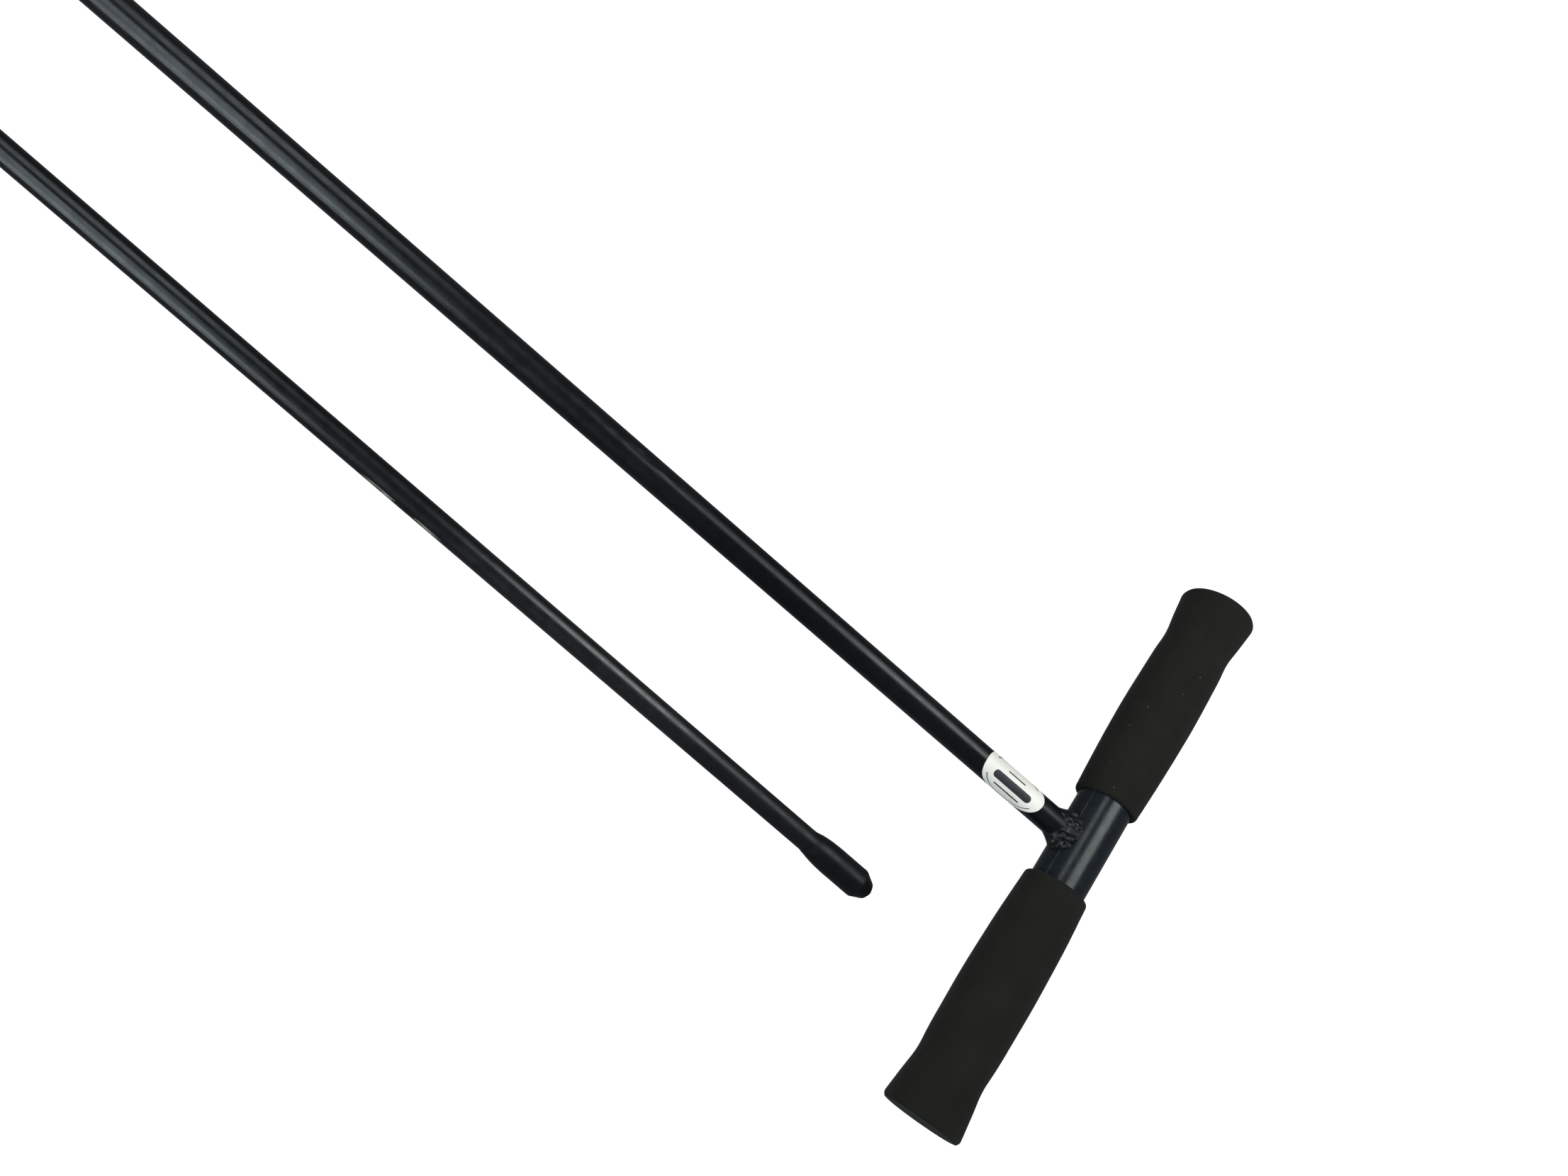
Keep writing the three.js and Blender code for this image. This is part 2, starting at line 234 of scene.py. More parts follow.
class Shader:
    """A procedural material with a Principled shader, and short calls for the nodes that feed it.
    Its coordinates are a section's own, in millimetres."""

    def __init__(self, name, color, roughness, metallic=0.0, specular=0.5, section=None):
        self.material = bpy.data.materials.new(name)
        self.material.use_nodes = True
        self.tree = self.material.node_tree
        self.surface = self.tree.nodes["Principled BSDF"]
        self.set("Base Color", (*color, 1))
        self.set("Roughness", roughness)
        self.set("Metallic", metallic)
        self.set("Specular IOR Level", specular)
        inverse = (section or HANDLE).inverted()
        place = self.node("ShaderNodeMapping")
        place.inputs["Location"].default_value = inverse.to_translation()
        place.inputs["Rotation"].default_value = inverse.to_euler()
        place.inputs["Scale"].default_value = inverse.to_scale()
        self.feed(place.inputs["Vector"], self.node("ShaderNodeTexCoord").outputs["Object"])
        self.place = place.outputs["Vector"]

    def set(self, socket, value):
        self.surface.inputs[socket].default_value = value

    def node(self, kind, **settings):
        made = self.tree.nodes.new(kind)
        for key, value in settings.items():
            setattr(made, key, value)
        return made

    def feed(self, socket, value):
        if isinstance(value, bpy.types.NodeSocket):
            self.tree.links.new(value, socket)
        else:
            socket.default_value = value

    def noise(self, grain, detail=3.0, rough=0.55, stretch=(1, 1, 1)):
        """Noise whose features are about grain millimetres across."""
        place = self.node("ShaderNodeMapping")
        place.inputs["Scale"].default_value = stretch
        self.feed(place.inputs["Vector"], self.place)
        made = self.node("ShaderNodeTexNoise")
        made.inputs["Scale"].default_value = 1 / grain
        made.inputs["Detail"].default_value = detail
        made.inputs["Roughness"].default_value = rough
        self.feed(made.inputs["Vector"], place.outputs["Vector"])
        return made.outputs["Fac"]

    def cells(self, grain):
        """The distance from the middle of cells about grain millimetres across."""
        made = self.node("ShaderNodeTexVoronoi")
        made.inputs["Scale"].default_value = 1 / grain
        self.feed(made.inputs["Vector"], self.place)
        return made.outputs["Distance"]

    def ramp(self, value, low, high, start=0.0, end=1.0):
        made = self.node("ShaderNodeMapRange", interpolation_type="SMOOTHSTEP")
        settings = {"From Min": low, "From Max": high, "To Min": start, "To Max": end}
        for key, number in settings.items():
            made.inputs[key].default_value = number
        self.feed(made.inputs["Value"], value)
        return made.outputs["Result"]

    def math(self, operation, first, second):
        made = self.node("ShaderNodeMath", operation=operation)
        self.feed(made.inputs[0], first)
        self.feed(made.inputs[1], second)
        return made.outputs["Value"]

    def axis(self, name):
        """One coordinate of the place: X along the section, Y across it, or Z up."""
        parts = self.node("ShaderNodeSeparateXYZ")
        self.feed(parts.inputs["Vector"], self.place)
        return parts.outputs[name]

    def within(self, value, low, high, soft):
        """1 between two values, and 0 outside them, with soft ends."""
        start = self.ramp(value, low - soft, low + soft)
        end = self.ramp(value, high - soft, high + soft, 1, 0)
        return self.math("MULTIPLY", start, end)

    def mix(self, share, first, second):
        made = self.node("ShaderNodeMix", data_type="RGBA")
        self.feed(made.inputs["Factor"], share)
        for socket, value in ((made.inputs["A"], first), (made.inputs["B"], second)):
            self.feed(socket, value if isinstance(value, bpy.types.NodeSocket) else (*value, 1))
        return made.outputs["Result"]

    def bump(self, height, depth, below=None):
        """A bump depth millimetres deep, over another bump if one is given."""
        made = self.node("ShaderNodeBump")
        made.inputs["Distance"].default_value = depth * MM
        self.feed(made.inputs["Height"], height)
        if below:
            self.feed(made.inputs["Normal"], below)
        return made.outputs["Normal"]

    def finish(self, color=None, roughness=None, normal=None):
        for socket, value in (("Base Color", color), ("Roughness", roughness), ("Normal", normal)):
            if value is not None:
                self.feed(self.surface.inputs[socket], value)
        return self.material


BLACK = (0.0027, 0.0030, 0.0039)
LIGHTER_BLACK = (0.0037, 0.0042, 0.0053)

# In the lower section's frame: where the rod's paint is scraped, where it shines more and by how
# much, and where it goes rougher towards the tip.
CHIPS_ALONG, CHIPS_ACROSS, CHIPS_UP = (352, 386), (-5.7, -5.0), (-0.4, 0.4)
GLOSSIER_ALONG, GLOSSIER = (400, 520), 0.36
WORN_ALONG, WORN = (TIP[1].x - 210, TIP[1].x - 50), 0.17
# In the handle section's frame: where the shaft's paint shines less, and how little.
DULLER_ALONG, DULLER = (150, 255), 0.09
GLOSS_FADE = 40  # half of the length over which the gloss changes


def powder_coat(name="powder_coat", section=None, rod=False, rougher=0.0, shine=0.17):
    """Satin blue-black powder coat with orange peel, slight runs, and specks of dust in it. One
    stretch of the shaft is duller. The rod's own coat is glossier in one stretch, rougher towards
    the tip, and scraped in one place."""
    coat = Shader(name, BLACK, 0.26, specular=shine, section=section)
    peel = coat.bump(coat.noise(1.8, detail=1), 0.004)
    runs = coat.bump(coat.noise(11, detail=2, stretch=(0.1, 1, 1)), 0.02, peel)
    specks = coat.ramp(coat.cells(6.5), 0.05, 0.03)
    normal = coat.bump(specks, 0.05, runs)
    color = coat.mix(coat.ramp(coat.noise(30, detail=4), 0.35, 0.7), BLACK, LIGHTER_BLACK)
    roughness = coat.ramp(coat.noise(6, detail=4), 0.3, 0.7, 0.22 + rougher, 0.31 + rougher)
    along, gloss = (GLOSSIER_ALONG, GLOSSIER) if rod else (DULLER_ALONG, DULLER)
    stretch = coat.within(coat.axis("X"), *along, GLOSS_FADE)
    coat.feed(coat.surface.inputs["Specular IOR Level"], coat.ramp(stretch, 0, 1, shine, gloss))
    if rod:
        worn = coat.ramp(coat.axis("X"), *WORN_ALONG, 0, WORN)
        roughness = coat.math("ADD", roughness, worn)
        across = coat.within(coat.axis("Y"), *CHIPS_ACROSS, 0.15)
        above = coat.ramp(coat.axis("Z"), *CHIPS_UP)
        where = coat.within(coat.axis("X"), *CHIPS_ALONG, 5)
        flakes = coat.ramp(coat.noise(2.8, detail=4, rough=0.6, stretch=(0.14, 1, 1)), 0.45, 0.48)
        side = coat.math("MULTIPLY", across, above)
        chips = coat.math("MULTIPLY", coat.math("MULTIPLY", where, side), flakes)
        color = coat.mix(chips, color, (0.17, 0.155, 0.13))
        roughness = coat.math("ADD", roughness, coat.math("MULTIPLY", chips, 0.3))
        normal = coat.bump(chips, -0.06, normal)
    return coat.finish(color, roughness, normal)


SEAM_ANGLE = math.radians(62.5)  # round the cross tube, from its top towards the shaft


def tube_paint():
    """The cross tube's smoother paint, with fine pits coloured darker as painted shade in them, and a pale line
    along its seam, which is a painted highlight on the seam's ridge.
    """
    paint = Shader("tube_paint", (0.0064, 0.0082, 0.0106), 0.24, specular=0.17)
    peel = paint.bump(paint.noise(1.6, detail=2), 0.010)
    pits = paint.ramp(paint.cells(4.4), 0.075, 0.05)
    normal = paint.bump(pits, -0.06, peel)
    cloud = paint.ramp(paint.noise(9, detail=5), 0.3, 0.7)
    color = paint.mix(cloud, (0.0056, 0.0074, 0.0098), (0.0074, 0.0092, 0.0116))
    # The pits are sunk by the bump and painted darker: painted shade in them.
    color = paint.mix(pits, color, (0.003, 0.003, 0.004))
    # The pale line along the seam's ridge is a painted highlight; the ridge itself is real, in the mesh and in the
    # bump.
    along_seam = paint.math("MULTIPLY", paint.axis("X"), math.cos(SEAM_ANGLE))
    across_seam = paint.math("MULTIPLY", paint.axis("Z"), -math.sin(SEAM_ANGLE))
    offset = paint.math("ADD", along_seam, across_seam)
    line = paint.within(offset, -0.13, 0.13, 0.07)
    facing = paint.ramp(paint.axis("X"), 2, 4)
    broken = paint.ramp(paint.noise(7), 0.38, 0.55, 0.35, 1.0)
    line = paint.math("MULTIPLY", paint.math("MULTIPLY", line, facing), broken)
    # Painted highlight: the seam's line goes into the colour as a pale grey.
    color = paint.mix(line, color, (0.055, 0.058, 0.060))
    roughness = paint.ramp(paint.noise(4, detail=5), 0.3, 0.7, 0.21, 0.29)
    return paint.finish(color, roughness, paint.bump(line, 0.03, normal))


def grip_foam():
    """Closed-cell foam: a matte moulded skin of fine cells, with a few pale specks."""
    foam = Shader("grip_foam", (0.0084, 0.0081, 0.0064), 0.9, specular=0.06)
    foam.set("Sheen Weight", 0.03)
    foam.set("Sheen Roughness", 0.5)
    cells = foam.bump(foam.cells(0.38), 0.05)
    skin = foam.bump(foam.noise(2.4, detail=4), 0.07, cells)
    cloud = foam.ramp(foam.noise(18, detail=4), 0.35, 0.7)
    base = foam.mix(cloud, (0.0077, 0.0075, 0.0059), (0.0092, 0.0089, 0.0071))
    specks = foam.ramp(foam.cells(11), 0.028, 0.016)
    color = foam.mix(specks, base, (0.13, 0.13, 0.11))
    return foam.finish(color, None, skin)


def label_film():
    film = Shader("label_film", (0.60, 0.565, 0.53), 0.42, specular=0.3)
    tone = film.mix(film.ramp(film.noise(12), 0.3, 0.7), (0.57, 0.54, 0.50), (0.63, 0.59, 0.555))
    return film.finish(tone, None, film.bump(film.noise(1.6), 0.01))


def label_ink():
    ink = Shader("label_ink", (0.012, 0.013, 0.016), 0.5, specular=0.4)
    tone = ink.mix(ink.ramp(ink.noise(1.2), 0.3, 0.7), (0.010, 0.011, 0.014), (0.02, 0.021, 0.025))
    return ink.finish(tone, None, ink.bump(ink.noise(1.6), 0.01))


def bare_steel():
    steel = Shader("bare_steel", (0.55, 0.56, 0.57), 0.32, metallic=1.0)
    turned = steel.noise(0.5, detail=4, stretch=(6, 1, 1))
    roughness = steel.ramp(turned, 0.3, 0.7, 0.24, 0.42)
    tone = steel.mix(steel.ramp(steel.noise(3), 0.3, 0.7), (0.50, 0.51, 0.52), (0.62, 0.62, 0.61))
    return steel.finish(tone, roughness, steel.bump(turned, 0.006))


def spring_steel():
    wire = Shader("spring_steel", (0.42, 0.43, 0.44), 0.35, metallic=1.0)
    tone = wire.mix(wire.ramp(wire.noise(0.8), 0.3, 0.7), (0.36, 0.37, 0.38), (0.50, 0.50, 0.50))
    return wire.finish(tone, wire.ramp(wire.noise(0.4), 0.3, 0.7, 0.28, 0.42))


def seal_rubber():
    seal = Shader("seal_rubber", (0.012, 0.012, 0.012), 0.6, specular=0.35)
    tone = seal.mix(seal.ramp(seal.noise(0.7), 0.3, 0.7), (0.009, 0.009, 0.009), (0.02, 0.02, 0.02))
    return seal.finish(tone, None, seal.bump(seal.noise(0.3), 0.01))


MAKERS = {
    POWDER: powder_coat,
    PAINT: tube_paint,
    FOAM: grip_foam,
    FILM: label_film,
    STEEL: bare_steel,
    WIRE: spring_steel,
    SEAL: seal_rubber,
}
MATERIALS = {slot: make() for slot, make in MAKERS.items()}
MATERIALS["label_ink"] = label_ink()
MATERIALS["rod_coat"] = powder_coat("rod_coat", LOWER, rod=True)
MATERIALS["weld_coat"] = powder_coat("weld_coat", rougher=0.15, shine=0.18)
MATERIALS["tip_coat"] = powder_coat("tip_coat", LOWER, rougher=0.12, shine=0.11)


# ---------------------------------------------------------------- mesh helpers


def rounded(outline, radii, steps=5):
    """An outline with each corner of a given radius turned into an arc. A radius of 0 leaves it."""
    points = [Vector(point) for point in outline]
    out = []
    for i, (point, radius) in enumerate(zip(points, radii)):
        if not radius or i in (0, len(points) - 1):
            out.append(point)
            continue
        back = (points[i - 1] - point).normalized()
        ahead = (points[i + 1] - point).normalized()
        for step in range(steps + 1):
            t = step / steps
            a = point + back * radius * (1 - t)
            b = point + ahead * radius * t
            out.append(a.lerp(b, t))
    return out


def piece(name, verts, faces, section, body, slot, replaced, sharp=SHARP, look=None):
    """A mesh from points in a section's frame, riding on a body and standing for CAD nodes. It
    has its slot's material, or a look of its own."""
    mesh = bpy.data.meshes.new(name)
    mesh.from_pydata([section @ Vector(vert) for vert in verts], [], faces)
    mesh.validate()
    tidy_normals(mesh)
    made = bpy.data.objects.new(name, mesh)
    bpy.context.scene.collection.objects.link(made)
    mesh.materials.append(MATERIALS[look or slot])
    shade(mesh, sharp)
    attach(made, body)
    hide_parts(*replaced)
    return made


def tidy_normals(mesh):
    edit = bmesh.new()
    edit.from_mesh(mesh)
    bmesh.ops.remove_doubles(edit, verts=edit.verts, dist=1e-7)
    bmesh.ops.recalc_face_normals(edit, faces=edit.faces)
    edit.to_mesh(mesh)
    edit.free()


def shade(mesh, sharp):
    mesh.shade_smooth()
    mesh.set_sharp_from_angle(angle=math.radians(sharp))


def lathe(outline, sides=ROUND, ripple=None):
    """Points and faces of a solid turned about X. The outline is [x, radius]: it starts and ends on
    the axis, or closes on itself. ripple(x, radius, angle) may shift a point's radius."""
    outline = [tuple(point) for point in outline]
    closed = outline[0][1] > 0
    if closed and outline[0] != outline[-1]:
        outline.append(outline[0])
    verts = []
    rows = []
    for x, radius in outline[:-1] if closed else outline:
        if radius <= 1e-6:
            rows.append([len(verts)] * sides)
            verts.append((x, 0, 0))
            continue
        row = []
        for i in range(sides):
            angle = 2 * math.pi * i / sides
            reach = radius + (ripple(x, radius, angle) if ripple else 0)
            row.append(len(verts))
            verts.append((x, reach * math.sin(angle), reach * math.cos(angle)))
        rows.append(row)
    if closed:
        rows.append(rows[0])
    return verts, skin(rows, sides)


def skin(rows, sides):
    """Quads and triangles between rings of points."""
    faces = []
    for one, two in zip(rows, rows[1:]):
        for i in range(sides):
            j = (i + 1) % sides
            corners = [one[i], one[j], two[j], two[i]]
            corners = [c for k, c in enumerate(corners) if c not in corners[:k]]
            if len(corners) > 2:
                faces.append(corners)
    return faces


def turn(verts, matrix):
    return [matrix @ Vector(vert) for vert in verts]


def cutter(name, verts, faces, section):
    mesh = bpy.data.meshes.new(name)
    mesh.from_pydata([section @ Vector(vert) for vert in verts], [], faces)
    tidy_normals(mesh)
    made = bpy.data.objects.new(name, mesh)
    bpy.context.scene.collection.objects.link(made)
    return made


def carve(made, *tools):
    """Cuts the tools out of a piece, applies that, and removes them."""
    for tool in tools:
        cut = made.modifiers.new("cut", "BOOLEAN")
        cut.operation = "DIFFERENCE"
        cut.solver = "EXACT"
        cut.object = tool
    apply_modifiers(made)
    for tool in tools:
        bpy.data.objects.remove(tool)
    shade(made.data, SHARP)
    made.modifiers.new("even_shading", "WEIGHTED_NORMAL").keep_sharp = True


def apply_modifiers(made):
    bpy.context.view_layer.update()
    graph = bpy.context.evaluated_depsgraph_get()
    mesh = bpy.data.meshes.new_from_object(made.evaluated_get(graph))
    made.modifiers.clear()
    old = made.data
    made.data = mesh
    bpy.data.meshes.remove(old)


def wrapped(angle):
    """The same angle, from half a turn back to half a turn on."""
    return (angle + math.pi) % (2 * math.pi) - math.pi


def lumps(x, y, z, grain, seed=0.0):
    """Smooth noise from -1 to 1 with features about grain millimetres across."""
    return noise.noise(Vector((x / grain + seed, y / grain, z / grain)))


# ---------------------------------------------------------------- handle section

ALONG_Y = Matrix.Rotation(math.pi / 2, 4, "Z")
ALONG_MINUS_Y = Matrix.Rotation(-math.pi / 2, 4, "Z")
UPRIGHT = Matrix.Rotation(-math.pi / 2, 4, "Y")


def cross_tube():
    """A welded tube. The ridge of its seam runs along it, on the shaft's side of the top."""
    half = CROSS_TUBE[1].y
    inner = CROSS_RADIUS - CROSS_WALL
    seam_width = math.radians(0.9)

    def seam(x, radius, angle):
        if radius < inner + 1:
            return 0
        off = wrapped(angle + SEAM_ANGLE)
        return 0.05 * math.exp(-((off / seam_width) ** 2)) - 0.05

    stations = [(-half + 2 * half * i / 58, CROSS_RADIUS) for i in range(1, 58)]
    outline = [(-half, inner), (-half, CROSS_RADIUS), *stations]
    outline += [(half, CROSS_RADIUS), (half, inner)]
    verts, faces = lathe(outline, 360, seam)
    placed = turn(verts, ALONG_Y)
    piece("cross_tube_skin", placed, faces, HANDLE, "handle_section", PAINT, ["cross_tube"], 50)


# Where the shaft's paint has run: along it, round it from the top, and how far that reaches.
RUNS_ALONG, RUNS_AROUND, RUNS_REACH = (256, 306), math.radians(-21), math.radians(24)


def shaft_tube():
    """The thin tube: coped to the cross tube, with a patch of runs and the button's hole."""
    start, end = CROSS_RADIUS - 3, SHAFT[1].x
    bore = SHAFT_RADIUS - SHAFT_WALL
    count = 420
    step = (end - start) / count

    def runs(x, radius, angle):
        if radius < SHAFT_RADIUS - 0.5:
            return 0
        y, z = SHAFT_RADIUS * math.sin(angle), SHAFT_RADIUS * math.cos(angle)
        along = (x - sum(RUNS_ALONG) / 2) / ((RUNS_ALONG[1] - RUNS_ALONG[0]) / 2)
        around = wrapped(angle - RUNS_AROUND) / RUNS_REACH
        patch_share = math.exp(-(along**4) - around**2)
        crease = min(1, 3 * abs(lumps(x / 5, y, z, 2.6, 9)))
        return 0.015 * lumps(x / 6, y, z, 5) - 0.25 * patch_share * crease

    stations = [(start + step * i, SHAFT_RADIUS) for i in range(1, count)]
    outline = [(start, bore), (start, SHAFT_RADIUS), *stations]
    outline += [(end - 0.5, SHAFT_RADIUS), (end, SHAFT_RADIUS - 0.4), (end, bore)]
    verts, faces = lathe(outline, 72, runs)
    tube = piece("shaft_tube_skin", verts, faces, HANDLE, "handle_section", POWDER, ["shaft_tube"])
    cope, cope_faces = lathe([(-20, 0), (-20, CROSS_RADIUS), (20, CROSS_RADIUS), (20, 0)], 128)
    radius = BUTTON_HOLE_RADIUS
    drill, drill_faces = lathe([(0, 0), (0, radius), (12, radius), (12, 0)], 48)
    hole_place = Matrix.Translation((BUTTON_HOLE_AT, 0, 0)) @ UPRIGHT
    carve(
        tube,
        cutter("cope", turn(cope, ALONG_Y), cope_faces, HANDLE),
        cutter("drill", turn(drill, hole_place), drill_faces, HANDLE),
    )


# The bead round the shaft. Angles are from the top towards +Y, in degrees. The toe is how far along
# the section the bead reaches on the shaft. The foot is how far from the shaft's axis it reaches on
# the cross tube.
BEAD = [
    (0, 17.4, 10.6),
    (22, 18.4, 11.0),
    (45, 18.6, 11.8),
    (75, 19.8, 11.2),
    (105, 21.4, 10.9),
    (150, 18.8, 10.8),
    (200, 18.0, 10.8),
    (250, 19.6, 11.0),
    (282, 22.4, 11.5),
    (318, 22.6, 11.3),
    (342, 19.0, 10.8),
]
# Lumps on it: angle, place along the section, distance from the shaft's axis, and radius.
LUMPS = [
    (50, 16.8, 7.7, 2.5),
    (70, 15.2, 8.7, 2.5),
    (35, 15.0, 8.2, 2.7),
    (27, 12.0, 9.4, 2.8),
    (58, 12.8, 10.2, 3.3),
    (64, 11.0, 11.8, 2.2),
    (45, 10.9, 11.4, 2.4),
    (82, 13.6, 10.0, 2.4),
    (18, 10.4, 9.8, 1.6),
    (21, 9.8, 10.9, 0.55),
    (38, 9.9, 12.2, 0.6),
    (336, 12.6, 8.2, 2.3),
    (343, 10.8, 9.4, 1.6),
    (326, 16.2, 7.0, 2.7),
    (300, 13.6, 8.6, 3.0),
    (345, 16.4, 6.6, 1.5),
]
CRAGGY = (5, 92)  # the stretch where the bead was laid badly


def around_bead(degrees):
    """The bead's toe and foot at an angle, eased between the entries of the table."""
    table = [(BEAD[-1][0] - 360, *BEAD[-1][1:]), *BEAD, (BEAD[0][0] + 360, *BEAD[0][1:])]
    for low, high in zip(table, table[1:]):
        if low[0] <= degrees <= high[0]:
            t = (degrees - low[0]) / (high[0] - low[0])
            t = t * t * (3 - 2 * t)
            return [a + (b - a) * t for a, b in zip(low[1:], high[1:])]


def bead_section(degrees):
    """One section through the bead, as [place along, distance from the shaft's axis] points."""
    up = math.cos(math.radians(degrees))

    def on_cross_tube(radius):
        return math.sqrt(CROSS_RADIUS**2 - min(radius * abs(up), CROSS_RADIUS - 1) ** 2)

    toe, foot = around_bead(degrees)
    ripple = 0.12 * math.sin(math.radians(degrees) * 26)
    corner = Vector((on_cross_tube(SHAFT_RADIUS), SHAFT_RADIUS))
    top = Vector((toe + ripple, SHAFT_RADIUS - 0.15))
    bottom = Vector((on_cross_tube(foot) - 0.15, foot + ripple))
    middle = top.lerp(bottom, 0.5).lerp(corner, 0.28)
    steps = [i / 12 for i in range(13)]
    face = [top * (1 - t) ** 2 + middle * 2 * t * (1 - t) + bottom * t * t for t in steps]
    sunk = Vector((-1, -0.8))
    return [*face, bottom + sunk, corner + Vector((-0.9, -0.8)), top + sunk]


def tee_weld():
    """A hand-laid fillet weld, smooth on its far side and clumped on the near side of the top."""
    verts, rows = [], []
    for i in range(180):
        angle = 2 * math.pi * i / 180
        points = bead_section(math.degrees(angle))
        rows.append(list(range(len(verts), len(verts) + len(points))))
        verts += [(p.x, p.y * math.sin(angle), p.y * math.cos(angle)) for p in points]
    faces = skin([*rows, rows[0]], len(rows[0]))
    rough = bmesh.new()
    for vert in verts:
        rough.verts.new(vert)
    rough.verts.ensure_lookup_table()
    for face in faces:
        rough.faces.new([rough.verts[i] for i in face])
    bmesh.ops.recalc_face_normals(rough, faces=rough.faces)
    for degrees, along, reach, radius in LUMPS:
        angle = math.radians(degrees)
        place = Vector((along, reach * math.sin(angle), reach * math.cos(angle)))
        squash = Matrix.Diagonal((1.15, 0.95, 0.8, 1))
        matrix = Matrix.Translation(place) @ Matrix.Rotation(angle * 3, 4, "X") @ squash
        bmesh.ops.create_icosphere(rough, subdivisions=3, radius=radius, matrix=matrix)
    mesh = bpy.data.meshes.new("rough_weld")
    rough.to_mesh(mesh)
    rough.free()
    blank = bpy.data.objects.new("rough_weld", mesh)
    bpy.context.scene.collection.objects.link(blank)
    remesh = blank.modifiers.new("fuse", "REMESH")
    remesh.mode = "VOXEL"
    remesh.voxel_size = 0.26
    soften = blank.modifiers.new("soften", "SMOOTH")
    soften.factor = 0.5
    soften.iterations = 14
    apply_modifiers(blank)
    verts = [crumpled(vert.co, vert.normal) for vert in blank.data.vertices]
    faces = [list(face.vertices) for face in blank.data.polygons]
    bpy.data.objects.remove(blank)
    body, replaced = "handle_section", ["tee_weld"]
    piece("tee_weld_bead", verts, faces, HANDLE, body, POWDER, replaced, 75, "weld_coat")


def crumpled(point, normal):
    """A point of the weld, moved out or in to wrinkle it, and kept out of both tubes' insides."""
    x, y, z = point
    degrees = math.degrees(math.atan2(y, z))
    middle, half = sum(CRAGGY) / 2, (CRAGGY[1] - CRAGGY[0]) / 2
    craggy = 1 / (1 + ((degrees - middle) / half) ** 6)
    folds = 1 - 2 * abs(lumps(x, y, z, 3.8, 4))
    wrinkle = craggy * (0.42 * folds - 0.18 + 0.03 * lumps(x, y, z, 1.2, 1))
    wrinkle += (1 - craggy) * 0.1 * lumps(x, y, z, 2.6, 6)
    moved = Vector(point) + Vector(normal) * wrinkle
    in_shaft, in_cross_tube = SHAFT_RADIUS - 0.6, CROSS_RADIUS - 0.8
    away = math.hypot(moved.y, moved.z)
    if away < in_shaft:
        moved.y, moved.z = (value * in_shaft / max(away, 0.1) for value in moved.yz)
    depth = math.hypot(moved.x, moved.z)
    if depth < in_cross_tube:
        moved.x, moved.z = (value * in_cross_tube / max(depth, 0.1) for value in moved.xz)
    return moved


GRIP_INNER_RADIUS = 16.6
GRIP_BELLY = (80, 18.5)
GRIP_NECK = (123.5, 17.4)
GRIP_EDGE = 1.7


def smooth_curve(points, steps):
    """A Catmull-Rom curve through points."""
    out = []
    padded_points = [points[0], *points, points[-1]]
    for a, b, c, d in zip(padded_points, padded_points[1:], padded_points[2:], padded_points[3:]):
        for step in range(steps):
            t = step / steps
            out.append(
                0.5
                * (
                    2 * b
                    + (c - a) * t
                    + (2 * a - 5 * b + 4 * c - d) * t * t
                    + (3 * b - a - 3 * c + d) * t**3
                )
            )
    out.append(points[-1])
    return out


def grip_outline():
    inner, end, flare = GRIP[0].y, GRIP[1].y, GRIP[1].z
    bore = CROSS_RADIUS + 0.05
    flare_at = end - 2.7
    side = smooth_curve(
        [
            Vector((inner + GRIP_EDGE, GRIP_INNER_RADIUS + 0.15)),
            Vector(((inner + GRIP_BELLY[0]) / 2, GRIP_BELLY[1] - 0.55)),
            Vector(GRIP_BELLY),
            Vector((GRIP_NECK[0] - 14, GRIP_NECK[1] + 0.65)),
            Vector(GRIP_NECK),
            Vector(((GRIP_NECK[0] + flare_at) / 2, (GRIP_NECK[1] + flare) / 2)),
            Vector((flare_at, flare)),
        ],
        14,
    )
    lip = rounded(
        [(inner + 9, bore), (inner, bore), (inner, GRIP_INNER_RADIUS), side[0]],
        [0, 0.5, 1.4, 0],
    )
    rim = rounded(
        [side[-1], (end - 0.5, flare), (end - 0.1, 0.9 * flare), (end, 0.7 * flare)],
        [0, 2.2, 1, 0],
    )
    closed_end = [(end, radius) for radius in (12, 9, 6, 3, 0)]
    bore_end = CROSS_TUBE[1].y + 0.3
    inside = [(bore_end, 0), (bore_end, bore), (inner + 60, bore)]
    return [*inside, *lip[:-1], *side, *rim[1:], *closed_end]


def grip(name, node, matrix, seed):
    """A moulded foam grip: a slightly uneven skin round a closed end."""

    def uneven(x, radius, angle):
        if radius < CROSS_RADIUS + 1 or x > GRIP[1].y - 1:
            return 0
        y, z = radius * math.sin(angle), radius * math.cos(angle)
        return -0.10 + 0.10 * lumps(x, y, z, 22, seed) + 0.03 * lumps(x, y, z, 4, seed)

    verts, faces = lathe(grip_outline(), 144, uneven)
    made = piece(name, turn(verts, matrix), faces, HANDLE, "handle_section", FOAM, [node], 60)


LABEL_LENGTH = LABEL[1].x - LABEL[0].x
LABEL_WIDTH = 26
FACING = 0.19  # how far round the oval, from -1 to 1, the print's middle is
# The lowest and highest face of the sticker and of its print, over the shaft's surface.
STICKER, INK = (0.025, 0.1), (0.095, 0.115)


def on_shaft(u, v, lift):
    """A point of the sticker: u, v from -1 to 1 along and across the oval, bent round the shaft."""
    angle = v * LABEL_WIDTH / 2 / SHAFT_RADIUS
    radius = SHAFT_RADIUS + lift
    x = (LABEL[0].x + LABEL[1].x) / 2 + u * LABEL_LENGTH / 2
    return (x, radius * math.sin(angle), radius * math.cos(angle))


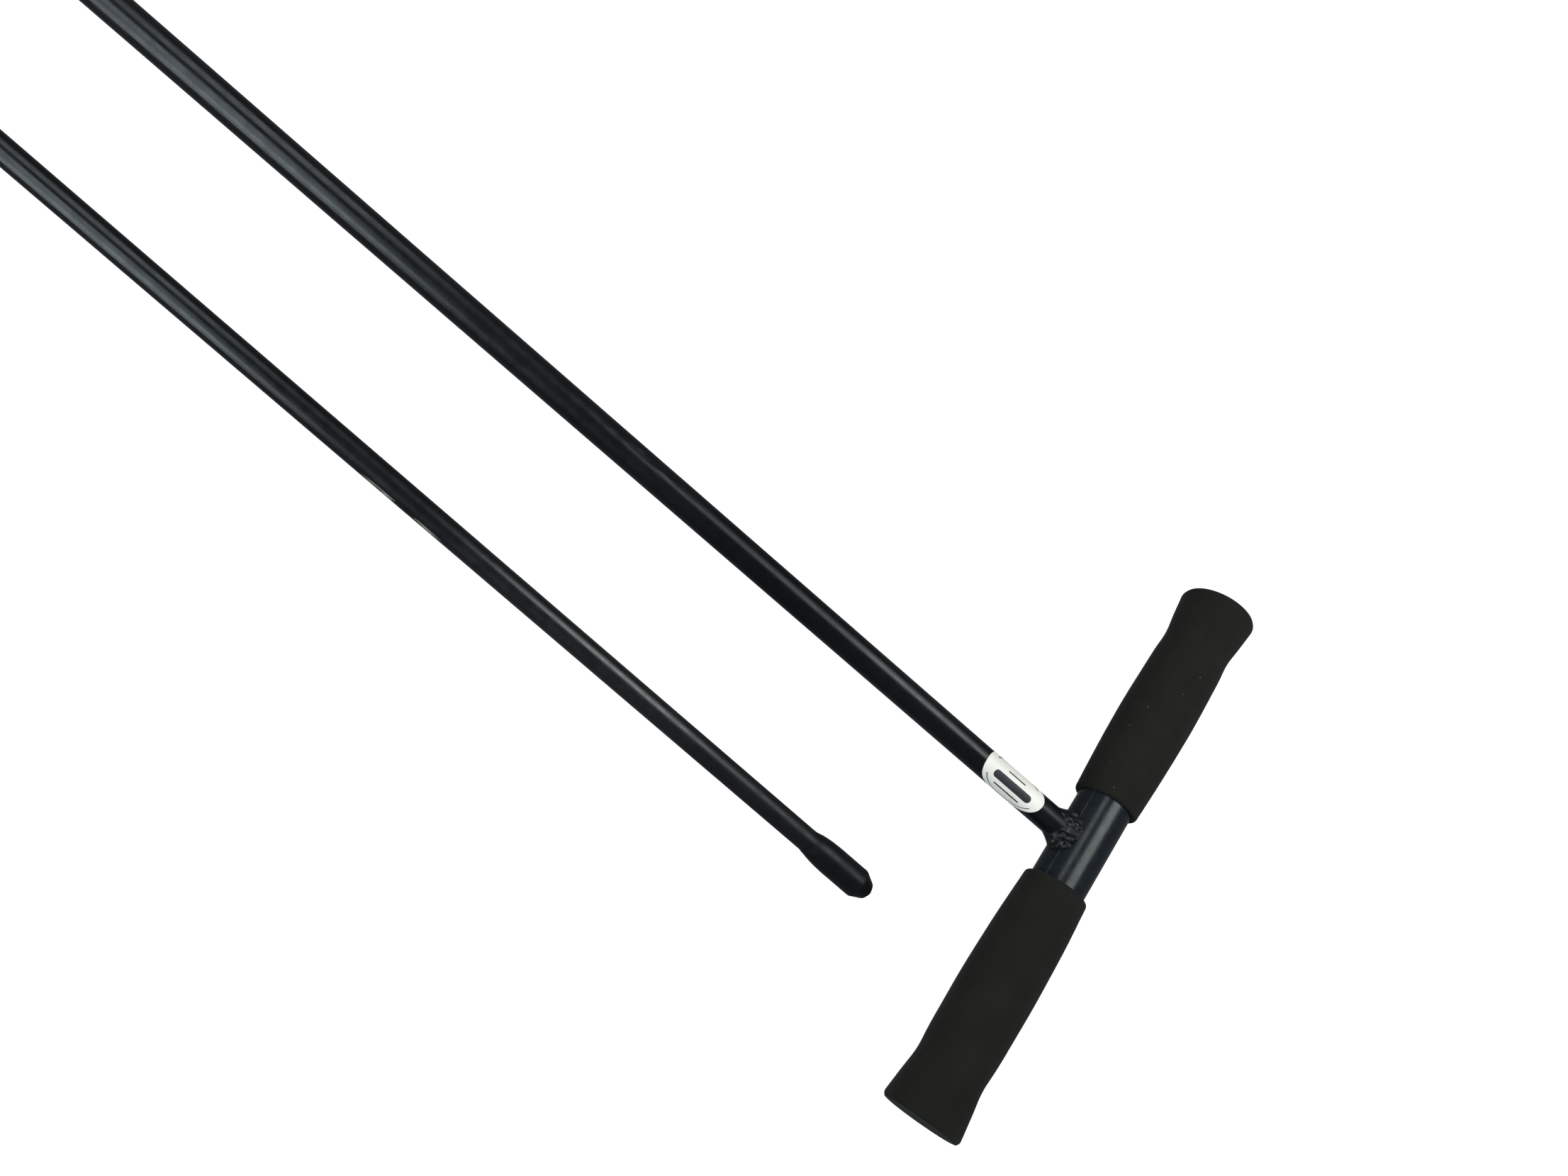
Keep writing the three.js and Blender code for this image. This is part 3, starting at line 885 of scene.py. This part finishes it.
def patch(inside, count, low, high):
    """A thin plate bent onto the shaft: a grid from -1 to 1, mapped by inside(a, b) to (u, v)."""
    verts = []
    size = count + 1
    for lift in (high, low):
        for i in range(size):
            for j in range(size):
                u, v = inside(2 * i / count - 1, 2 * j / count - 1)
                verts.append(on_shaft(u, v, lift))
    faces = []
    for i in range(count):
        for j in range(count):
            corner = i * size + j
            quad = [corner, corner + size, corner + size + 1, corner + 1]
            faces += [quad, [index + size * size for index in reversed(quad)]]
    rim = [(i, 0) for i in range(count)] + [(count, j) for j in range(count)]
    rim += [(count - i, count) for i in range(count)] + [(0, count - j) for j in range(count)]
    loop = [i * size + j for i, j in rim]
    faces += [
        [one, two, two + size * size, one + size * size]
        for one, two in zip(loop, loop[1:] + loop[:1])
    ]
    return verts, faces


def disc(a, b):
    return a * math.sqrt(1 - b * b / 2), b * math.sqrt(1 - a * a / 2)


def bar_shape(half_length, middle, half_height):
    """A printed bar with round ends."""

    def inside(a, b):
        along = math.sin(a * math.pi / 2) * half_length
        end = half_height * LABEL_WIDTH / LABEL_LENGTH
        past = max(0, (abs(along) - (half_length - end)) / end)
        return along, middle + b * half_height * math.sqrt(max(0, 1 - past**2))

    return inside


def arc_shape(start, end, reach, half_width):
    """A printed line that follows the oval's edge, from one angle to another, in degrees."""

    def inside(a, b):
        angle = math.radians((start + end) / 2 + a * (end - start) / 2)
        out = reach + b * half_width
        return out * math.cos(angle), out * math.sin(angle)

    return inside


def label():
    """A blank oval sticker, printed with a plain bar and lines, and no wording."""
    verts, faces = patch(disc, 56, *STICKER)
    piece("label_sticker", verts, faces, HANDLE, "handle_section", FILM, ["label"], 60)
    shapes = [
        bar_shape(0.64, FACING, 0.155),
        bar_shape(0.30, FACING - 0.36, 0.028),
        bar_shape(0.44, FACING + 0.34, 0.028),
        arc_shape(28, 152, 0.86, 0.014),
        arc_shape(-152, -108, 0.80, 0.022),
        arc_shape(-72, -28, 0.80, 0.022),
    ]
    verts, faces = [], []
    for shape in shapes:
        shape_verts, shape_faces = patch(shape, 32, *INK)
        faces += [[corner + len(verts) for corner in face] for face in shape_faces]
        verts += shape_verts
    body, replaced = "handle_section", ["label"]
    piece("label_print", verts, faces, HANDLE, body, FILM, replaced, 60, "label_ink")


def socket_collar():
    low, high, radius = SOCKET[0].x, SOCKET[1].x, SOCKET[1].y
    inner = SHAFT_RADIUS + 0.02
    outline = rounded(
        [(low, inner), (low, radius), (high, radius), (high, inner), (low, inner)],
        [0, 1.2, 1.2, 0.3, 0],
    )
    verts, faces = lathe(outline)
    piece("socket_collar_body", verts, faces, HANDLE, "handle_section", POWDER, ["socket_collar"])


def collar_weld():
    """A neat rippled bead behind the collar."""
    low, high = COLLAR_WELD[0].x, SOCKET[0].x + 0.3
    radius = SHAFT_RADIUS - 0.1

    def ripple(x, reach, angle):
        if reach < radius + 0.5:
            return 0
        return 0.16 * math.sin(34 * angle + 3 * (x - low)) + 0.25 * lumps(x, 9 * angle, 0, 2.5)

    leg = high - low
    arc = [
        (low + leg * t, radius + 0.2 + leg * (1 - math.cos(t * math.pi / 2)) ** 0.8)
        for t in (i / 9 for i in range(10))
    ]
    verts, faces = lathe([(low, radius), *arc, (high, radius), (low, radius)], 180, ripple)
    piece("collar_weld_bead", verts, faces, HANDLE, "handle_section", POWDER, ["collar_weld"], 70)


# ---------------------------------------------------------------- coupling sleeve

KEYWAY_DEPTH, KEYWAY_HALF, KEYWAY_RADIUS = 16, 3, 8.1
SLEEVE_GROOVES, GROOVE_DEPTH = (9.5, 14, 18.5), 0.6
SEAT_RADIUS = 7.4  # of the O-ring's groove in the bore


def coupling_sleeve():
    """The guard sleeve, with finger grooves round it and a keyway in its bore."""
    low, high, radius = SLEEVE[0].x, SLEEVE[1].x, SLEEVE[1].y
    bore = ROD_RADIUS + 0.3
    corners = [(low, bore), (low, radius)]
    radii = [0, 1.2]
    deep = radius - GROOVE_DEPTH
    for at in SLEEVE_GROOVES:
        corners += [(at, radius), (at + 0.3, deep), (at + 1.3, deep), (at + 1.6, radius)]
        radii += [0.2, 0.2, 0.2, 0.2]
    corners += [(high, radius), (high, bore), (low, bore)]
    radii += [1.2, 0.3, 0]
    seat_low, seat_high = O_RING[0].x - 0.4, O_RING[1].x + 0.4
    seat = [(seat_high, bore), (seat_high, SEAT_RADIUS), (seat_low, SEAT_RADIUS), (seat_low, bore)]
    outline = rounded(corners, radii, 4)[:-1] + [*seat, (low, bore)]
    verts, faces = lathe(outline)
    body = "coupling_sleeve"
    sleeve = piece("coupling_sleeve_body", verts, faces, LOWER, body, POWDER, ["coupling_sleeve"])
    box = [
        (x, y, z)
        for x in (low - 2, low + KEYWAY_DEPTH)
        for y in (-KEYWAY_HALF, KEYWAY_HALF)
        for z in (0, KEYWAY_RADIUS)
    ]
    sides = [(0, 1, 3, 2), (4, 6, 7, 5), (0, 4, 5, 1), (2, 3, 7, 6), (0, 2, 6, 4), (1, 5, 7, 3)]
    carve(sleeve, cutter("keyway", box, sides, LOWER))


def sleeve_o_ring():
    middle = (O_RING[0].x + O_RING[1].x) / 2
    wire = (O_RING[1].x - O_RING[0].x) / 2
    ring = O_RING[1].y - wire
    outline = []
    for i in range(25):
        angle = 2 * math.pi * i / 24
        outline.append((middle + wire * math.cos(angle), ring + wire * math.sin(angle)))
    outline[-1] = outline[0]
    verts, faces = lathe(outline)
    piece("sleeve_o_ring_seal", verts, faces, LOWER, "coupling_sleeve", SEAL, ["sleeve_o_ring"])


# ---------------------------------------------------------------- lower section


def probe_rod():
    start, end = ROD[0].x, TIP[0].x + 0.2
    count = 200
    step = (end - start - 4) / count

    def runs(x, radius, angle):
        if radius < ROD_RADIUS - 0.1:
            return 0
        return 0.02 * lumps(x / 6, 8 * math.sin(angle), 8 * math.cos(angle), 5, 3)

    outline = [(start, 0), (start, ROD_RADIUS - 1.2), (start + 1.2, ROD_RADIUS)]
    outline += [(start + 2 + step * i, ROD_RADIUS) for i in range(count + 1)]
    spigot_end = end + SPIGOT_LENGTH
    outline += [(end, ROD_RADIUS), (end, SPIGOT_RADIUS)]
    outline += [(spigot_end, SPIGOT_RADIUS), (spigot_end, 0)]
    verts, faces = lathe(outline, 64, runs)
    body, replaced = "lower_section", ["probe_rod"]
    rod = piece("probe_rod_skin", verts, faces, LOWER, body, POWDER, replaced, look="rod_coat")
    well, well_faces = lathe([(-3.5, 0), (-3.5, WELL_RADIUS), (8, WELL_RADIUS), (8, 0)], 64)
    radius = PIN_HOLE_RADIUS
    pin_hole, pin_faces = lathe([(-9, 0), (-9, radius), (9, radius), (9, 0)], 40)
    pin_place = Matrix.Translation(((PIN[0].x + PIN[1].x) / 2, 0, 0)) @ ALONG_Y
    carve(
        rod,
        cutter("well", turn(well, button_place()), well_faces, LOWER),
        cutter("pin_hole", turn(pin_hole, pin_place), pin_faces, LOWER),
    )


# Distances back from the tip's very end, in millimetres, and radii.
TIP_SHOULDER, TIP_BULB, TIP_BEVEL, TIP_NOSE, TIP_POINT = 34.15, 27.8, 8.1, 2.2, 0.3
TIP_BACK_RADIUS, TIP_SHOULDER_RADIUS, TIP_NOSE_RADIUS, TIP_POINT_RADIUS = 5.8, 6.72, 4.3, 1.2


def probe_tip():
    """The bulb: a soft step and cone at the back, a straight body, and a bevelled, blunt nose."""
    back, end, bulb = TIP[0].x, TIP[1].x, TIP[1].y
    wall = ROD_RADIUS + 0.01
    side = rounded(
        [
            (back - 0.6, wall),
            (back + 0.9, TIP_BACK_RADIUS),
            (end - TIP_SHOULDER, TIP_SHOULDER_RADIUS),
            (end - TIP_BULB, bulb),
            (end - TIP_BEVEL, bulb),
            (end - TIP_NOSE, TIP_NOSE_RADIUS),
            (end - TIP_POINT, TIP_POINT_RADIUS),
            (end, 0),
        ],
        [0, 1.2, 3, 4, 0.9, 0.6, 0.7, 0],
        8,
    )

    def hammered(x, radius, angle):
        if radius < wall or x > end - TIP_NOSE:
            return 0
        y, z = radius * math.sin(angle), radius * math.cos(angle)
        toe = 0.2 * math.exp(-(((x - back - 0.6) / 1.7) ** 2)) * lumps(x, y, z, 2.4, 5)
        blended = 0.5 + 0.5 * math.sin(angle + math.radians(30))
        step = (radius - wall) * 0.85 * blended * math.exp(-(((x - back) / 3) ** 2))
        return toe * (1 - blended) - step - 0.04 + 0.05 * lumps(x, y, z, 6, 2)

    verts, faces = lathe(densified([(back - 0.6, 0), *side], 0.8), ROUND, hammered)
    body, replaced = "lower_section", ["probe_tip"]
    piece("probe_tip_bulb", verts, faces, LOWER, body, POWDER, replaced, 40, "tip_coat")


def densified(outline, step):
    """An outline with no stretch off the axis longer than step."""
    out = [Vector(outline[0])]
    for one, two in zip(outline, outline[1:]):
        one, two = Vector(one), Vector(two)
        count = max(1, math.ceil((two - one).length / step))
        out += [one.lerp(two, k / count) for k in range(1, count + 1)]
    return out


def thrust_collar():
    low, high, radius = THRUST[0].x, THRUST[1].x, THRUST[1].y
    inner = ROD_RADIUS + 0.02
    outline = rounded(
        [(low, inner), (low, radius), (high, radius), (high, inner), (low, inner)],
        [0, 1.1, 1.1, 0.3, 0],
    )
    verts, faces = lathe(outline)
    body, replaced = "lower_section", ["thrust_collar"]
    collar = piece("thrust_collar_body", verts, faces, LOWER, body, POWDER, replaced)
    hole = PIN_HOLE_RADIUS
    drill, drill_faces = lathe([(-20, 0), (-20, hole), (20, hole), (20, 0)], 40)
    place = Matrix.Translation(((low + high) / 2, 0, 0)) @ ALONG_Y
    carve(collar, cutter("pin_drill", turn(drill, place), drill_faces, LOWER))


def roll_pin():
    """A slotted spring pin, rolled from strip."""
    outer, inner, slot = 1.5, 0.9, math.radians(20)
    half = PIN[1].y
    steps = 40
    ends = [(-half, 0.25), (-half + 0.4, 0), (half - 0.4, 0), (half, 0.25)]
    rows = []
    verts = []
    for y, taper in ends:
        row = []
        for radius, way in ((outer - taper, 1), (inner, -1)):
            for i in range(steps + 1):
                share = i / steps if way > 0 else 1 - i / steps
                angle = slot / 2 + share * (2 * math.pi - slot)
                row.append(len(verts))
                verts.append((radius * math.cos(angle), y, radius * math.sin(angle)))
        rows.append(row)
    faces = skin(rows, len(rows[0]))
    faces += [list(rows[0]), list(reversed(rows[-1]))]
    at = Matrix.Translation(((PIN[0].x + PIN[1].x) / 2, 0, 0))
    body, replaced = "lower_section", ["thrust_collar_pin"]
    piece("thrust_collar_pin_rolled", turn(verts, at), faces, LOWER, body, STEEL, replaced)


def button_place():
    return Matrix.Translation((BUTTON_AT, 0, 0)) @ UPRIGHT


def lock_button():
    flange, head = BUTTON[1].y, 2.5
    low, high = BUTTON[0].z, BUTTON[1].z
    outline = rounded(
        [
            (low, 0),
            (low, flange),
            (low + 1, flange),
            (low + 1, head),
            (high - 0.5, head),
            (high, 0.9),
            (high, 0),
        ],
        [0, 0.2, 0.2, 0.15, 0.9, 0.6, 0],
    )
    verts, faces = lathe(outline, 64)
    placed = turn(verts, button_place())
    piece("lock_button_head", placed, faces, LOWER, "lock_button", STEEL, ["lock_button"])


def button_retainer():
    low, high, outer = RETAINER[0].z, RETAINER[1].z, RETAINER[1].y
    inner = 2.8
    outline = rounded(
        [(low, inner), (low, outer), (high, outer), (high, inner), (low, inner)],
        [0, 0.15, 0.25, 0.25, 0],
    )
    verts, faces = lathe(outline, 64)
    placed = turn(verts, button_place())
    body, replaced = "lower_section", ["button_retainer"]
    piece("button_retainer_ring", placed, faces, LOWER, body, STEEL, replaced)


def button_spring():
    """The coil under the button, made at its rest length."""
    wire, coil, turns = 0.2, 2.2, 3.5
    low, high = SPRING[0].z + wire, SPRING[1].z - wire
    around, steps = 12, 160
    verts = []
    rows = []
    for step in range(steps + 1):
        t = step / steps
        angle = 2 * math.pi * turns * t
        out = Vector((math.cos(angle), math.sin(angle), 0))
        middle = coil * out + Vector((0, 0, low + (high - low) * t))
        row = []
        for k in range(around):
            way = 2 * math.pi * k / around
            point = middle + wire * (math.cos(way) * out + Vector((0, 0, math.sin(way))))
            row.append(len(verts))
            verts.append((point.x + BUTTON_AT, point.y, point.z))
        rows.append(row)
    faces = skin(rows, around) + [list(rows[0]), list(reversed(rows[-1]))]
    body, replaced = "lower_section", ["button_spring"]
    spring = piece("button_spring_coil", verts, faces, LOWER, body, WIRE, replaced, 60)
    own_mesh(spring)


# ---------------------------------------------------------------- the scene


def main():
    view_settings()
    camera()
    lights()
    floor()
    cross_tube()
    shaft_tube()
    tee_weld()
    grip("grip_near_foam", "grip_near", ALONG_Y, 0)
    grip("grip_far_foam", "grip_far", ALONG_MINUS_Y, 11)
    label()
    socket_collar()
    collar_weld()
    coupling_sleeve()
    sleeve_o_ring()
    probe_rod()
    probe_tip()
    thrust_collar()
    roll_pin()
    button_spring()
    button_retainer()
    lock_button()


main()
